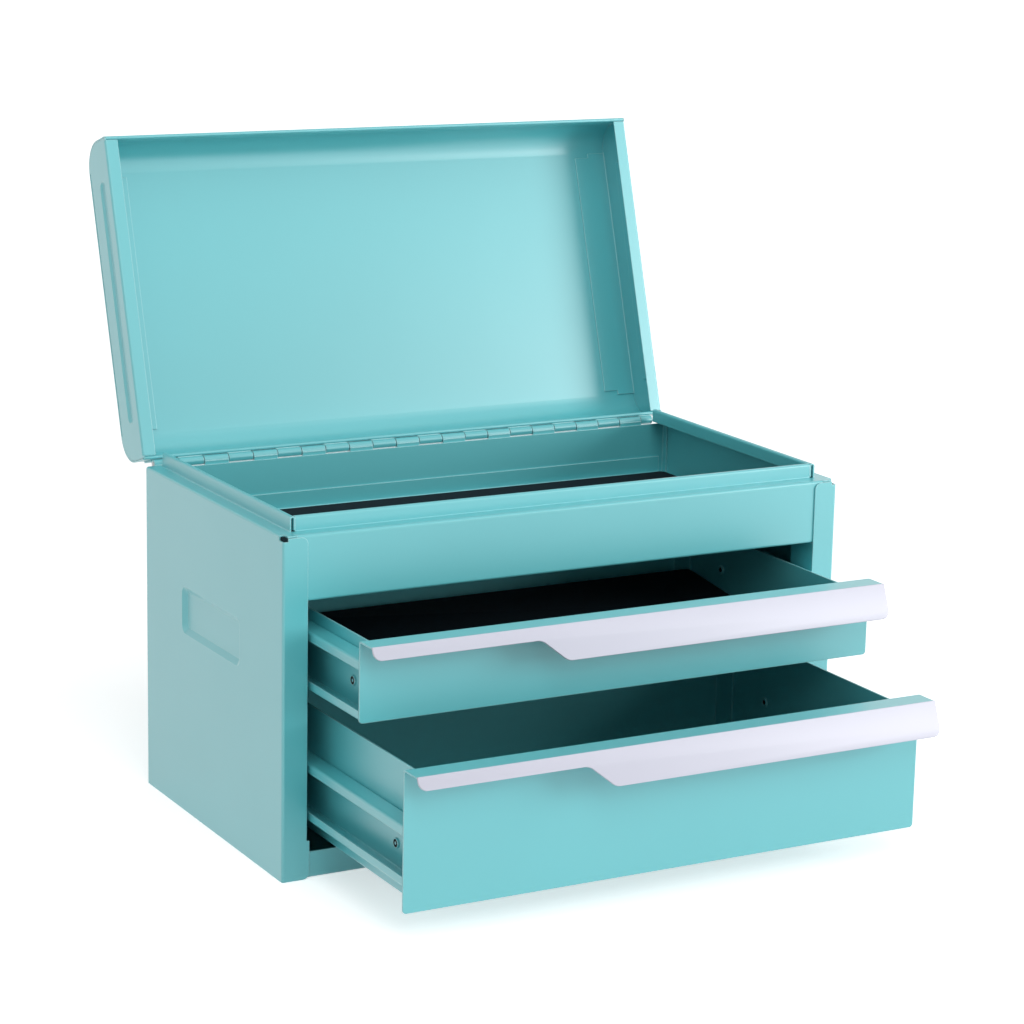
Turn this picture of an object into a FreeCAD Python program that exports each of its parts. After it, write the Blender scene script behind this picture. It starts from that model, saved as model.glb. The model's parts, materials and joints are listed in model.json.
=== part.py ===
import FreeCAD, Part
import math
import os

# Small steel tool chest for a bench top: a case with a lidded top tray and two drawers.
# Millimetres. X runs to the right, Y to the back and Z up. The origin is on the underside,
# midway between the sides and midway between the front and back of the case.
# The chest is modelled as it stands open: lid up against its stop, both drawers pulled out.

# Case
case_width = 330.0
case_depth = 178.5
case_height = 180.0
sheet = 0.8
bend_inside = 0.5
side_ledge_width = 8.1
front_ledge_depth = 9.9
lip_height = 7.7
hem_thickness = 3.0
lip_hem_end_gap = 0.5
post_width = 13.7
post_return_depth = 21.0
post_top_step = 0.9
post_corner_radius = 3.6
post_return_foot = 20.8
post_foot_extra = 1.5
notch_along = 5.0
notch_across = 3.0
notch_drop = 2.6
seam_gap = 0.3
overrun = 5.0
straight_share = 0.99

# Grip pressing in each side panel
grip_length = 76.0
grip_height = 26.0
grip_centre_y = 2.0
grip_below_runner = 1.85
grip_depth = 2.2
grip_slope = 3.2
grip_corner_radius = 4.5

# Fascia across the front of the tray
fascia_height = 34.1
fascia_flange = 8.0

# Base and back
rail_height = 14.0
base_flange_height = 10.0
base_flange_margin = 8.0
back_top_step = 1.8
back_flange_width = 5.1
flange_land = 14.0
flange_clearance = 1.0

# Top tray
tray_depth = 31.6
tray_back_upstand = 10.2
tray_front_flange = 8.0
tray_side_flange = 6.0
mat_thickness = 1.2
mat_margin = 1.0

# Drawers, as they stand when shut
front_side_gap = 1.8
front_face_inset = 0.5
front_corner_radius = 2.0
front_flange_reach = 12.6
gap_under_fascia = 6.6
gap_between_fronts = 8.9
gap_over_rail = 2.3
upper_front_share = 0.3655
pan_wall_drop = 4.1
pan_floor_rise = 1.4
pan_length = 174.0
drawer_back_flange = 17.3
mat_curl_rise = 8.5
mat_curl_length = 72.6
mat_curl_radius = 300.0
upper_pulled_out = 55.9
lower_pulled_out = 105.0

# Drawer pulls
pull_thickness = 1.2
pull_narrow_height = 7.0
pull_wide_height = 18.6
pull_lean_angle = 22.0
pull_corner_radius = 4.5
pull_step_radius = 6.0
pull_step_start = 92.0
pull_step_run = 13.0
pull_tab_reach = 8.0
pull_tab_margin = 6.0

# Slides: a channel on each drawer wall runs round a hat section on the case
channel_height_share = 0.7314
channel_depth = 10.5
channel_lip_share = 0.1574
upper_channel_rise = 1.4
lower_channel_rise_share = 0.1892
slide_clearance = 0.3
slide_side_clearance = 0.4
hat_neck_share = 0.59
hat_back_gap = 2.0
hat_front_gap = 2.0

# Rivets that hold the channels
rivet_radius = 1.6
rivet_hole_clearance = 0.1
rivet_head_radius = 2.7
rivet_head_height = 1.0
rivet_head_edge = 0.35
rivet_front_setback = 26.0
rivet_rear_setback = 49.6
rivet_front_drop = 2.5
upper_rivet_rear_rise = 1.8
lower_rivet_rear_rise = 6.3

# Lid
lid_depth = 29.0
lid_rest_gap = 0.3
lid_corner_radius = 16.0
lid_hem_thickness = 2.0
lid_hem_height = 8.0
lid_hem_inside = 0.15
lid_rim_flange = 7.4
lid_weld_flange = 21.0
lid_weld_narrow = 12.0
lid_weld_step = 2.5
lid_plate_gap = 0.2
bead_length = 134.0
bead_height = 8.0
bead_depth = 1.2
bead_slope = 1.6
bead_from_rim = 11.4
bead_centre_y = 1.0
lid_open_angle = 107.5

# Continuous hinge along the back
knuckle_radius = 2.5
pin_radius = 1.35
pin_clearance = 0.05
leaf_thickness = 1.1
leaf_height = 12.0
hinge_air = 0.4
hinge_axis_rise = 0.2
hinge_left_margin = 5.0
hinge_right_margin = 8.3
knuckle_pitch = 14.7
knuckle_gap = 0.5
shortest_knuckle = 4.0
knuckle_notch_air = 0.6

# Places worked out from the sizes above
half_width = case_width / 2
half_depth = case_depth / 2
wall_inside = half_width - sheet
opening_half = half_width - post_width
ledge_inside = half_width - side_ledge_width
lip_inside = ledge_inside - hem_thickness
lip_top = case_height + lip_height
front_layer = -half_depth + sheet
lip_front = -half_depth + front_ledge_depth
back_inside = half_depth - sheet
back_top = case_height - back_top_step
fascia_bottom = case_height - fascia_height
tray_floor_height = case_height - tray_depth
lower_front_bottom = rail_height + gap_over_rail
fronts_room = fascia_bottom - gap_under_fascia - gap_between_fronts - lower_front_bottom
upper_front_height = fronts_room * upper_front_share
lower_front_height = fronts_room - upper_front_height
upper_front_bottom = lower_front_bottom + lower_front_height + gap_between_fronts
channel_height = upper_front_height * channel_height_share
channel_lip = channel_height * channel_lip_share
hat_neck_height = channel_height * hat_neck_share
lower_channel_rise = lower_front_height * lower_channel_rise_share
upper_channel_centre = upper_front_bottom + upper_channel_rise + channel_height / 2
lower_channel_centre = lower_front_bottom + lower_channel_rise + channel_height / 2
grip_centre_z = upper_channel_centre - grip_below_runner
front_half = opening_half - front_side_gap
front_face_y = -half_depth + front_face_inset
pan_front_y = front_face_y + sheet
pan_back_y = pan_front_y + pan_length
pan_half = front_half - channel_depth
lid_rim_z = case_height + lid_rest_gap
lid_top_z = lid_rim_z + lid_depth
hinge_y = half_depth + knuckle_radius + hinge_air
hinge_z = case_height + hinge_axis_rise
hinge_start = -half_width + hinge_left_margin
hinge_end = half_width - hinge_right_margin
full_knuckles = int((hinge_end - hinge_start - shortest_knuckle) / knuckle_pitch)
hinge_full_end = hinge_start + full_knuckles * knuckle_pitch
end_knuckle_length = hinge_end - hinge_full_end


def point(across, up):
    """A point of an outline, before it is stood up in its plane."""
    return FreeCAD.Vector(across, up, 0)


def block(x_range, y_range, z_range):
    """A box between its lowest and highest place along each axis."""
    corner = FreeCAD.Vector(x_range[0], y_range[0], z_range[0])
    sides = [high - low for low, high in (x_range, y_range, z_range)]
    return Part.makeBox(sides[0], sides[1], sides[2], corner)


def stand_up(face, plane, start, end):
    """Extrude an outline that is drawn flat, and turn it into its plane.

    The plane xy has X across and Y up, xz has X across and Z up, and yz has Y across and Z up.
    """
    solid = face.extrude(FreeCAD.Vector(0, 0, end - start))
    if plane == "xy":
        solid.Placement = FreeCAD.Placement(FreeCAD.Vector(0, 0, start), FreeCAD.Rotation())
    elif plane == "xz":
        quarter = FreeCAD.Rotation(FreeCAD.Vector(1, 0, 0), 90)
        solid.Placement = FreeCAD.Placement(FreeCAD.Vector(0, end, 0), quarter)
    else:
        third = FreeCAD.Rotation(FreeCAD.Vector(1, 1, 1), 120)
        solid.Placement = FreeCAD.Placement(FreeCAD.Vector(start, 0, 0), third)
    return solid


def left_of(run):
    """The unit direction to the left of a run."""
    return FreeCAD.Vector(-run.y, run.x, 0).normalize()


def shifted_left(path, shift):
    """The path moved to its left by a shift, with its corners mitred."""
    moved = []
    for index, place in enumerate(path):
        sides = []
        if index > 0:
            sides.append(left_of(place - path[index - 1]))
        if index < len(path) - 1:
            sides.append(left_of(path[index + 1] - place))
        if len(sides) == 1:
            moved.append(place + sides[0] * shift)
        else:
            moved.append(place + (sides[0] + sides[1]) * (shift / (1 + sides[0].dot(sides[1]))))
    return moved


def rounded_corner(before, corner, after, radius):
    """The two tangent points of a rounded corner and the middle of its arc."""
    back = (before - corner).normalize()
    ahead = (after - corner).normalize()
    half_angle = back.getAngle(ahead) / 2
    reach = radius / math.tan(half_angle)
    inward = (back + ahead).normalize() * (radius / math.sin(half_angle) - radius)
    return corner + back * reach, corner + inward, corner + ahead * reach


def rounded_run(path, radii):
    """Edges of an open path, with each inner corner rounded by its own radius."""
    edges = []
    start = path[0]
    for index in range(1, len(path) - 1):
        first, middle, last = rounded_corner(path[index - 1], path[index], path[index + 1], radii[index])
        edges.append(Part.LineSegment(start, first).toShape())
        edges.append(Part.Arc(first, middle, last).toShape())
        start = last
    edges.append(Part.LineSegment(start, path[-1]).toShape())
    return edges


def folded_sheet(plane, path, start, end, inside_radii=None, thickness=sheet):
    """A sheet folded along a path, with its thickness on the left of the path.

    The inside radius of every fold is bend_inside, unless inside_radii gives one for its corner.
    """
    inside_radii = inside_radii or {}
    near_radii = {}
    far_radii = {}
    for index in range(1, len(path) - 1):
        inner = inside_radii.get(index, bend_inside)
        turn = left_of(path[index] - path[index - 1]).dot(path[index + 1] - path[index])
        near_radii[index] = inner + thickness if turn > 0 else inner
        far_radii[index] = inner if turn > 0 else inner + thickness
    far_path = shifted_left(path, thickness)
    far_back = {len(path) - 1 - index: radius for index, radius in far_radii.items()}
    near_edges = rounded_run(path, near_radii)
    far_edges = rounded_run(far_path[::-1], far_back)
    end_cap = Part.LineSegment(path[-1], far_path[-1]).toShape()
    start_cap = Part.LineSegment(far_path[0], path[0]).toShape()
    outline = Part.Wire(near_edges + [end_cap] + far_edges + [start_cap])
    return stand_up(Part.Face(outline), plane, start, end)


def rounded_outline(corners, radii):
    """A closed outline with a radius, or none, at each corner."""
    edges = []
    count = len(corners)
    ends = []
    for index, corner in enumerate(corners):
        if radii[index] > 0:
            first, middle, last = rounded_corner(corners[index - 1], corner, corners[(index + 1) % count],
                                                 radii[index])
            ends.append((first, middle, last))
        else:
            ends.append((corner, None, corner))
    for index, (first, middle, last) in enumerate(ends):
        if middle is not None:
            edges.append(Part.Arc(first, middle, last).toShape())
        following = ends[(index + 1) % count][0]
        if (following - last).Length > 0:
            edges.append(Part.LineSegment(last, following).toShape())
    return Part.Wire(edges)


def rectangle_outline(centre_across, centre_up, length, height, radius):
    """A rectangle with rounded corners, about its centre."""
    across = (centre_across - length / 2, centre_across + length / 2)
    up = (centre_up - height / 2, centre_up + height / 2)
    corners = [
        point(across[0], up[0]),
        point(across[1], up[0]),
        point(across[1], up[1]),
        point(across[0], up[1]),
    ]
    return rounded_outline(corners, [radius] * len(corners))


def pressed_tool(centre_y, centre_z, length, height, radius, depth, slope, outer_x):
    """The tapered solid of a pressing that goes inwards, towards +X, from a face at outer_x."""
    outer = rectangle_outline(centre_y, centre_z, length, height, radius)
    floor_radius = max(radius - slope, radius / 2)
    inner = rectangle_outline(centre_y, centre_z, length - 2 * slope, height - 2 * slope, floor_radius)
    turn = FreeCAD.Rotation(FreeCAD.Vector(1, 1, 1), 120)
    outer.Placement = FreeCAD.Placement(FreeCAD.Vector(outer_x, 0, 0), turn)
    inner.Placement = FreeCAD.Placement(FreeCAD.Vector(outer_x + depth, 0, 0), turn)
    return Part.makeLoft([outer, inner], True, True)


def press_inwards(panel, centre_y, centre_z, length, height, radius, depth, slope):
    """Press a shallow recess into the left-hand wall of a panel, keeping the sheet's thickness."""
    back = pressed_tool(centre_y, centre_z, length, height, radius, depth, slope, -wall_inside)
    front = pressed_tool(centre_y, centre_z, length, height, radius, depth, slope, -half_width)
    return panel.fuse(back).cut(front)


def round_edges(solid, radius, chosen):
    """Round the straight edges of a solid whose middle passes the given test."""
    picked = []
    for edge in solid.Edges:
        middle = (edge.Vertexes[0].Point + edge.Vertexes[-1].Point) * 0.5
        direction = edge.Vertexes[-1].Point - edge.Vertexes[0].Point
        if len(edge.Vertexes) == 2 and chosen(middle, direction):
            picked.append(edge)
    return solid.makeFillet(radius, picked)


def along_y(direction):
    """Whether an edge runs along Y."""
    return direction.Length > 0 and abs(direction.y) > straight_share * direction.Length


def mirrored(solid):
    """The same piece for the other side of the chest."""
    return solid.mirror(FreeCAD.Vector(0, 0, 0), FreeCAD.Vector(1, 0, 0))


def post():
    """The folded front edge of a side panel, wider at its foot, with its inner corners rounded."""
    top = case_height - post_top_step
    wall_end = front_layer + notch_along * 2
    fold = [point(-half_width, wall_end), point(-half_width, -half_depth), point(-opening_half, -half_depth)]
    edge_x = -opening_half
    foot_x = edge_x + post_foot_extra
    foot = block((edge_x - sheet, foot_x), (-half_depth, front_layer), (0, post_return_foot - seam_gap))
    flange = folded_sheet("xy", fold, 0, top).fuse(foot).removeSplitter()

    def inner_corner(middle, direction):
        at_top = abs(middle.z - top) < sheet and abs(middle.x - edge_x) < sheet / 2
        at_foot = abs(middle.z) < sheet and abs(middle.x - foot_x) < sheet / 2
        return along_y(direction) and (at_top or at_foot)

    flange = round_edges(flange, post_corner_radius, inner_corner)
    fold.append(point(-opening_half, -half_depth + post_return_depth))
    returned = folded_sheet("xy", fold, post_return_foot, fascia_bottom - seam_gap)
    notch = block((-half_width - overrun, -half_width + notch_across),
                  (-half_depth - overrun, -half_depth + notch_along),
                  (case_height - notch_drop, case_height + overrun))
    return flange.fuse(returned).cut(notch)


def side_panel():
    """The left side panel: wall, ledge, raised hemmed lip and front post, folded from one sheet."""
    path = [
        point(-lip_inside, case_height + lip_hem_end_gap),
        point(-lip_inside, lip_top),
        point(-ledge_inside, lip_top),
        point(-ledge_inside, case_height),
        point(-half_width, case_height),
        point(-half_width, 0),
    ]
    panel = folded_sheet("xz", path, front_layer, half_depth)
    lip_end = block((-half_width, 0), (-half_depth - overrun, lip_front), (case_height, lip_top + overrun))
    corner = block((-half_width - overrun, -half_width + notch_across),
                   (-half_depth - overrun, -half_depth + notch_along), (-overrun, lip_top))
    front_wall = block((-half_width - overrun, -ledge_inside),
                       (-half_depth - overrun, -half_depth + notch_along),
                       (-overrun, case_height - 2 * sheet))
    lip_rear = block((-half_width, 0), (back_inside - hem_thickness, half_depth + overrun),
                     (case_height, lip_top + overrun))
    lip_root = block((-ledge_inside, 0), (-half_depth - overrun, lip_front),
                     (case_height - overrun, lip_top))
    panel = panel.cut(lip_end).cut(lip_root).cut(corner).cut(front_wall).cut(lip_rear)
    panel = panel.fuse(post())
    return press_inwards(panel, grip_centre_y, grip_centre_z, grip_length, grip_height,
                         grip_corner_radius, grip_depth, grip_slope)


def front_fascia():
    """The panel across the top of the front, with its ledge and raised hemmed lip."""
    path = [
        point(lip_front + hem_thickness, case_height + lip_hem_end_gap),
        point(lip_front + hem_thickness, lip_top),
        point(lip_front, lip_top),
        point(lip_front, case_height),
        point(front_layer, case_height),
        point(front_layer, fascia_bottom),
        point(front_layer + fascia_flange, fascia_bottom),
    ]
    fascia = folded_sheet("yz", path, -ledge_inside, ledge_inside)
    for side in (-1, 1):
        reach = sorted((side * lip_inside, side * half_width))
        fascia = fascia.cut(block(reach, (lip_front - sheet, 0), (case_height, lip_top + overrun)))
        fascia = fascia.cut(block(reach, (lip_front, 0), (case_height - overrun, lip_top)))
    return fascia


def base_panel():
    """The bottom of the case, with the rail under the lower drawer and flanges up to the walls."""
    front = front_layer + sheet
    path = [
        point(front, rail_height),
        point(front, 0),
        point(back_inside, 0),
        point(back_inside, base_flange_height),
    ]
    base = folded_sheet("yz", path, -wall_inside, wall_inside)
    rail_half = opening_half - seam_gap
    side_end = half_depth - back_flange_width - base_flange_margin
    for side in (-1, 1):
        reach = sorted((side * rail_half, side * (half_width + overrun)))
        base = base.cut(block(reach, (-half_depth, front + 2 * sheet),
                              (-overrun, rail_height + overrun)))
        reach = sorted((side * (wall_inside - sheet - flange_clearance), side * (half_width + overrun)))
        base = base.cut(block(reach, (back_inside - 2 * sheet, half_depth),
                              (sheet, base_flange_height + overrun)))
    flange = [
        point(-wall_inside, base_flange_height),
        point(-wall_inside, 0),
        point(-wall_inside + flange_land, 0),
    ]
    left_range = (front + base_flange_margin, side_end)
    left = folded_sheet("xz", flange, left_range[0], left_range[1])
    edge = block((-wall_inside - overrun, -wall_inside + bend_inside + sheet), left_range,
                 (-overrun, overrun))
    base = base.cut(edge).cut(mirrored(edge))
    return base.fuse(left).fuse(mirrored(left))


def back_panel():
    """The back of the case, flanged forwards along both side panels."""
    path = [
        point(wall_inside, half_depth - back_flange_width),
        point(wall_inside, half_depth),
        point(-wall_inside, half_depth),
        point(-wall_inside, half_depth - back_flange_width),
    ]
    flange_foot = base_flange_height + flange_clearance
    upper = folded_sheet("xy", path, flange_foot, back_top)
    flat_half = wall_inside - bend_inside - sheet
    lower = block((-flat_half, flat_half), (back_inside, half_depth), (0, flange_foot))
    return upper.fuse(lower)


def tray_pan():
    """The floor of the top tray: up at the front and back, and down along both sides."""
    front = front_layer + sheet
    path = [
        point(front, tray_floor_height + tray_front_flange),
        point(front, tray_floor_height),
        point(back_inside, tray_floor_height),
        point(back_inside, tray_floor_height + tray_back_upstand),
    ]
    pan = folded_sheet("yz", path, -wall_inside + sheet, wall_inside - sheet)
    clear = back_flange_width + flange_clearance
    gap_half = wall_inside - sheet - hem_thickness
    for side in (-1, 1):
        reach = sorted((side * gap_half, side * half_width))
        upstand = block(reach, (back_inside - 2 * sheet, half_depth),
                        (tray_floor_height + sheet, case_height))
        pan = pan.cut(upstand)
    flange = [
        point(-wall_inside + sheet, tray_floor_height + sheet - tray_side_flange),
        point(-wall_inside + sheet, tray_floor_height),
        point(-wall_inside + flange_land, tray_floor_height),
    ]
    left_range = (front + base_flange_margin, half_depth - clear)
    left = folded_sheet("xz", flange, left_range[0], left_range[1])
    edge = block((-wall_inside - overrun, -wall_inside + sheet + bend_inside + sheet), left_range,
                 (tray_floor_height - overrun, tray_floor_height + overrun))
    pan = pan.cut(edge).cut(mirrored(edge))
    return pan.fuse(left).fuse(mirrored(left))


def tray_mat():
    """The foam liner that lies on the tray's floor."""
    half = wall_inside - sheet - bend_inside - sheet - mat_margin
    front = front_layer + sheet + bend_inside + sheet + mat_margin
    back = half_depth - back_flange_width - mat_margin
    top = tray_floor_height + sheet
    return block((-half, half), (front, back), (top, top + mat_thickness))


def runner(centre_z, crown_x):
    """A left-hand case runner: a hat section whose brims run inside the drawer's channel."""
    brim_x = -front_half + sheet + slide_side_clearance
    brim_half = channel_height / 2 - sheet - slide_clearance
    neck_half = hat_neck_height / 2
    path = [
        point(brim_x, centre_z + brim_half),
        point(brim_x, centre_z + neck_half),
        point(crown_x, centre_z + neck_half),
        point(crown_x, centre_z - neck_half),
        point(brim_x, centre_z - neck_half),
        point(brim_x, centre_z - brim_half),
    ]
    front = -half_depth + post_return_depth + hat_front_gap
    return folded_sheet("xz", path, front, half_depth - back_flange_width - hat_back_gap)


def hinge_leaf(on_case):
    """One leaf of the continuous hinge, with its own knuckles and room for the other leaf's."""
    direction = -1 if on_case else 1
    has_end_knuckle = (full_knuckles % 2 == 0) == on_case
    leaf_end = hinge_end if has_end_knuckle else hinge_full_end
    edge = sorted((hinge_z, hinge_z + direction * leaf_height))
    leaf = block((hinge_start, leaf_end), (half_depth, half_depth + leaf_thickness), edge)
    along = FreeCAD.Vector(1, 0, 0)
    for index in range(full_knuckles + 1):
        start = hinge_start + index * knuckle_pitch
        length = knuckle_pitch if index < full_knuckles else end_knuckle_length
        own = (index % 2 == 0) == on_case
        if own:
            barrel_start = start + knuckle_gap / 2
            centre = FreeCAD.Vector(barrel_start, hinge_y, hinge_z)
            leaf = leaf.fuse(Part.makeCylinder(knuckle_radius, length - knuckle_gap, centre, along))
        else:
            notch_reach = knuckle_radius + knuckle_notch_air
            reach = sorted((hinge_z - direction * overrun, hinge_z + direction * notch_reach))
            span = (start - knuckle_gap / 2, start + length + knuckle_gap / 2)
            leaf = leaf.cut(block(span, (half_depth - overrun, hinge_y), reach))
    ends = []
    for index in range(1, full_knuckles + 1):
        seam = hinge_start + index * knuckle_pitch
        ends.append(block((seam - knuckle_gap / 2, seam + knuckle_gap / 2), (half_depth - overrun, hinge_y),
                          sorted((hinge_z - direction * overrun, hinge_z + direction * knuckle_radius))))
    leaf = leaf.cut(Part.Compound(ends))
    bore_start = FreeCAD.Vector(hinge_start - overrun, hinge_y, hinge_z)
    bore_length = hinge_end - hinge_start + 2 * overrun
    return leaf.cut(Part.makeCylinder(pin_radius + pin_clearance, bore_length, bore_start, along))


def hinge_pin():
    """The wire that joins the two hinge leaves."""
    start = FreeCAD.Vector(hinge_start, hinge_y, hinge_z)
    return Part.makeCylinder(pin_radius, hinge_end - hinge_start, start, FreeCAD.Vector(1, 0, 0))


def lid_skin():
    """The top, front and back of the lid, folded from one sheet with hemmed rims."""
    inner = half_depth - lid_hem_thickness
    path = [
        point(inner, lid_rim_z + lid_hem_height),
        point(inner, lid_rim_z),
        point(half_depth, lid_rim_z),
        point(half_depth, lid_top_z),
        point(-half_depth, lid_top_z),
        point(-half_depth, lid_rim_z),
        point(-inner, lid_rim_z),
        point(-inner, lid_rim_z + lid_hem_height),
    ]
    big = lid_corner_radius - sheet
    radii = {1: lid_hem_inside, 2: lid_hem_inside, 3: big, 4: big, 5: lid_hem_inside, 6: lid_hem_inside}
    skin = folded_sheet("yz", path, -half_width, half_width, radii)
    for side in (-1, 1):
        reach = sorted((side * (wall_inside - lid_plate_gap), side * (half_width + overrun)))
        inside = half_depth - sheet
        skin = skin.cut(block(reach, (-inside, inside),
                              (lid_rim_z - overrun, lid_rim_z + lid_hem_height + overrun)))
    return skin


def lid_end():
    """The left end of the lid: a beaded plate with a rim flange and a weld flange under the top."""
    edge = half_depth - sheet - lid_plate_gap
    top = lid_top_z - sheet
    corner = lid_corner_radius - sheet
    corners = [point(-edge, lid_rim_z), point(edge, lid_rim_z), point(edge, top), point(-edge, top)]
    plate_face = Part.Face(rounded_outline(corners, [0, 0, corner, corner]))
    plate = stand_up(plate_face, "yz", -half_width, -wall_inside)
    flat_half = half_depth - lid_corner_radius
    rim_half = half_depth - lid_hem_thickness - lid_plate_gap
    middle = lid_rim_z + lid_depth / 2
    rim_room = block((-half_width - overrun, 0), (-rim_half, rim_half), (lid_rim_z - overrun, middle))
    weld_room = block((-half_width - overrun, 0), (-flat_half, flat_half), (middle, lid_top_z + overrun))
    plate = plate.cut(rim_room).cut(weld_room)
    rim_path = [point(-half_width, middle), point(-half_width, lid_rim_z),
                point(-half_width + lid_rim_flange, lid_rim_z)]
    rim = folded_sheet("xz", rim_path, -rim_half, rim_half)
    weld_path = [
        point(-half_width + lid_weld_flange, top),
        point(-half_width, top),
        point(-half_width, middle),
    ]
    weld = folded_sheet("xz", weld_path, -flat_half, flat_half)
    for side in (-1, 1):
        reach = sorted((side * (flat_half - lid_weld_step), side * (flat_half + overrun)))
        weld = weld.cut(block((-half_width + lid_weld_narrow, 0), reach, (middle, lid_top_z)))
    end = plate.fuse(rim).fuse(weld)
    return press_inwards(end, bead_centre_y, lid_rim_z + bead_from_rim, bead_length, bead_height,
                         bead_height / 2 - seam_gap, bead_depth, bead_slope)


def opened(solid):
    """Turn a piece of the shut lid up about the hinge to where it stands open."""
    lifted = solid.copy()
    lifted.rotate(FreeCAD.Vector(0, hinge_y, hinge_z), FreeCAD.Vector(1, 0, 0), -lid_open_angle)
    return lifted


def rivet_places(channel_centre, rear_rise):
    """The Y and Z of the front and rear rivet of a channel."""
    return [
        (front_face_y + rivet_front_setback, channel_centre - rivet_front_drop),
        (pan_back_y - rivet_rear_setback, channel_centre + rear_rise),
    ]


def drill_rivet_holes(solid, places):
    """Drill the rivet holes through walls that stand on both sides of a drawer."""
    radius = rivet_radius + rivet_hole_clearance
    for y, z in places:
        start = FreeCAD.Vector(-half_width, y, z)
        solid = solid.cut(Part.makeCylinder(radius, case_width, start, FreeCAD.Vector(1, 0, 0)))
    return solid


def rivet(y, z):
    """A rivet through the left-hand channel and drawer wall."""
    grip = 2 * sheet
    along = FreeCAD.Vector(1, 0, 0)
    outer_face = -pan_half - sheet
    shank = Part.makeCylinder(rivet_radius, grip, FreeCAD.Vector(outer_face, y, z), along)
    full = rivet_head_height - rivet_head_edge
    narrow = rivet_head_radius - rivet_head_edge
    solid = shank
    for start, towards in ((outer_face, -1), (outer_face + grip, 1)):
        facing = FreeCAD.Vector(towards, 0, 0)
        centre = FreeCAD.Vector(start, y, z)
        solid = solid.fuse(Part.makeCylinder(rivet_head_radius, full, centre, facing))
        crown = centre + facing * full
        solid = solid.fuse(Part.makeCone(rivet_head_radius, narrow, rivet_head_edge, crown, facing))
    return solid


def drawer_front(bottom, height):
    """The front of a drawer, with the flange at its top that carries the pull."""
    top = bottom + height
    flange_end = front_face_y - front_flange_reach
    path = [point(pan_front_y, bottom), point(pan_front_y, top), point(flange_end, top)]
    front = folded_sheet("yz", path, -front_half, front_half)

    def lower_corner(middle, direction):
        return along_y(direction) and abs(middle.z - bottom) < sheet / 2

    return round_edges(front, front_corner_radius, lower_corner)


def drawer_pull(top):
    """The white pull: a leaning strip with a dog-leg in its lower edge, and a tab under the flange."""
    left = -front_half
    right = front_half
    step = left + pull_step_start
    corners = [
        point(left, 0),
        point(left, -pull_narrow_height),
        point(step, -pull_narrow_height),
        point(step + pull_step_run, -pull_wide_height),
        point(right, -pull_wide_height),
        point(right, 0),
    ]
    radii = [0, pull_corner_radius, pull_step_radius, pull_step_radius, pull_corner_radius, 0]
    strip = stand_up(Part.Face(rounded_outline(corners, radii)), "xz", -pull_thickness, 0)
    strip.rotate(FreeCAD.Vector(0, 0, 0), FreeCAD.Vector(1, 0, 0), -pull_lean_angle)
    strip.translate(FreeCAD.Vector(0, front_face_y - front_flange_reach, top))
    tab_top = top - sheet
    tab_front = front_face_y - front_flange_reach - pull_thickness / 2
    tab = block((left + pull_tab_margin, right - pull_tab_margin), (tab_front, tab_front + pull_tab_reach),
                (tab_top - pull_thickness, tab_top))
    return strip.fuse(tab)


def drawer_pan(bottom, height, places):
    """The floor and side walls of a drawer, folded from one sheet."""
    floor = bottom + pan_floor_rise
    rim = bottom + height - pan_wall_drop
    path = [point(-pan_half, rim), point(-pan_half, floor), point(pan_half, floor), point(pan_half, rim)]
    return drill_rivet_holes(folded_sheet("xz", path, pan_front_y, pan_back_y), places)


def drawer_back(bottom, height):
    """The back wall of a drawer, flanged forwards inside the side walls."""
    inner = pan_half - sheet
    floor = bottom + pan_floor_rise + sheet
    rim = bottom + height - pan_wall_drop
    path = [
        point(inner, pan_back_y - drawer_back_flange),
        point(inner, pan_back_y),
        point(-inner, pan_back_y),
        point(-inner, pan_back_y - drawer_back_flange),
    ]
    return folded_sheet("xy", path, floor + bend_inside, rim)


def drawer_mat(bottom):
    """The foam liner on a drawer's floor, with its rear part curled up."""
    half = pan_half - sheet - bend_inside - mat_margin
    floor = bottom + pan_floor_rise + sheet
    back = pan_back_y - drawer_back_flange
    path = [
        point(pan_front_y + mat_margin, floor),
        point(back - mat_curl_length, floor),
        point(back, floor + mat_curl_rise),
    ]
    return folded_sheet("yz", path, -half, half, {1: mat_curl_radius}, mat_thickness)


def drawer_channel(channel_bottom, places):
    """The left-hand drawer channel, with its lips turned in behind which the runner's brims slide."""
    low = channel_bottom + sheet
    high = channel_bottom + channel_height - sheet
    lip_x = -front_half + sheet
    web_x = -pan_half - sheet
    path = [
        point(lip_x, channel_bottom + channel_height - channel_lip),
        point(lip_x, high),
        point(web_x, high),
        point(web_x, low),
        point(lip_x, low),
        point(lip_x, channel_bottom + channel_lip),
    ]
    return drill_rivet_holes(folded_sheet("xz", path, pan_front_y + seam_gap, pan_back_y), places)


def drawer(name, bottom, height, channel_rise, rear_rise, pulled_out):
    """Every piece of one drawer, by node name, where the drawer stands open."""
    channel_bottom = bottom + channel_rise
    places = rivet_places(channel_bottom + channel_height / 2, rear_rise)
    left_channel = drawer_channel(channel_bottom, places)
    rivets = [rivet(y, z) for y, z in places]
    rivets += [mirrored(solid) for solid in rivets]
    pieces = {
        "front": drawer_front(bottom, height),
        "pull": drawer_pull(bottom + height),
        "pan": drawer_pan(bottom, height, places),
        "back": drawer_back(bottom, height),
        "mat": drawer_mat(bottom),
        "left_channel": left_channel,
        "right_channel": mirrored(left_channel),
        "rivets": Part.Compound(rivets),
    }
    placed = {}
    for piece, solid in pieces.items():
        solid.translate(FreeCAD.Vector(0, -pulled_out, 0))
        placed[f"{name}_drawer_{piece}"] = solid
    return placed


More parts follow.
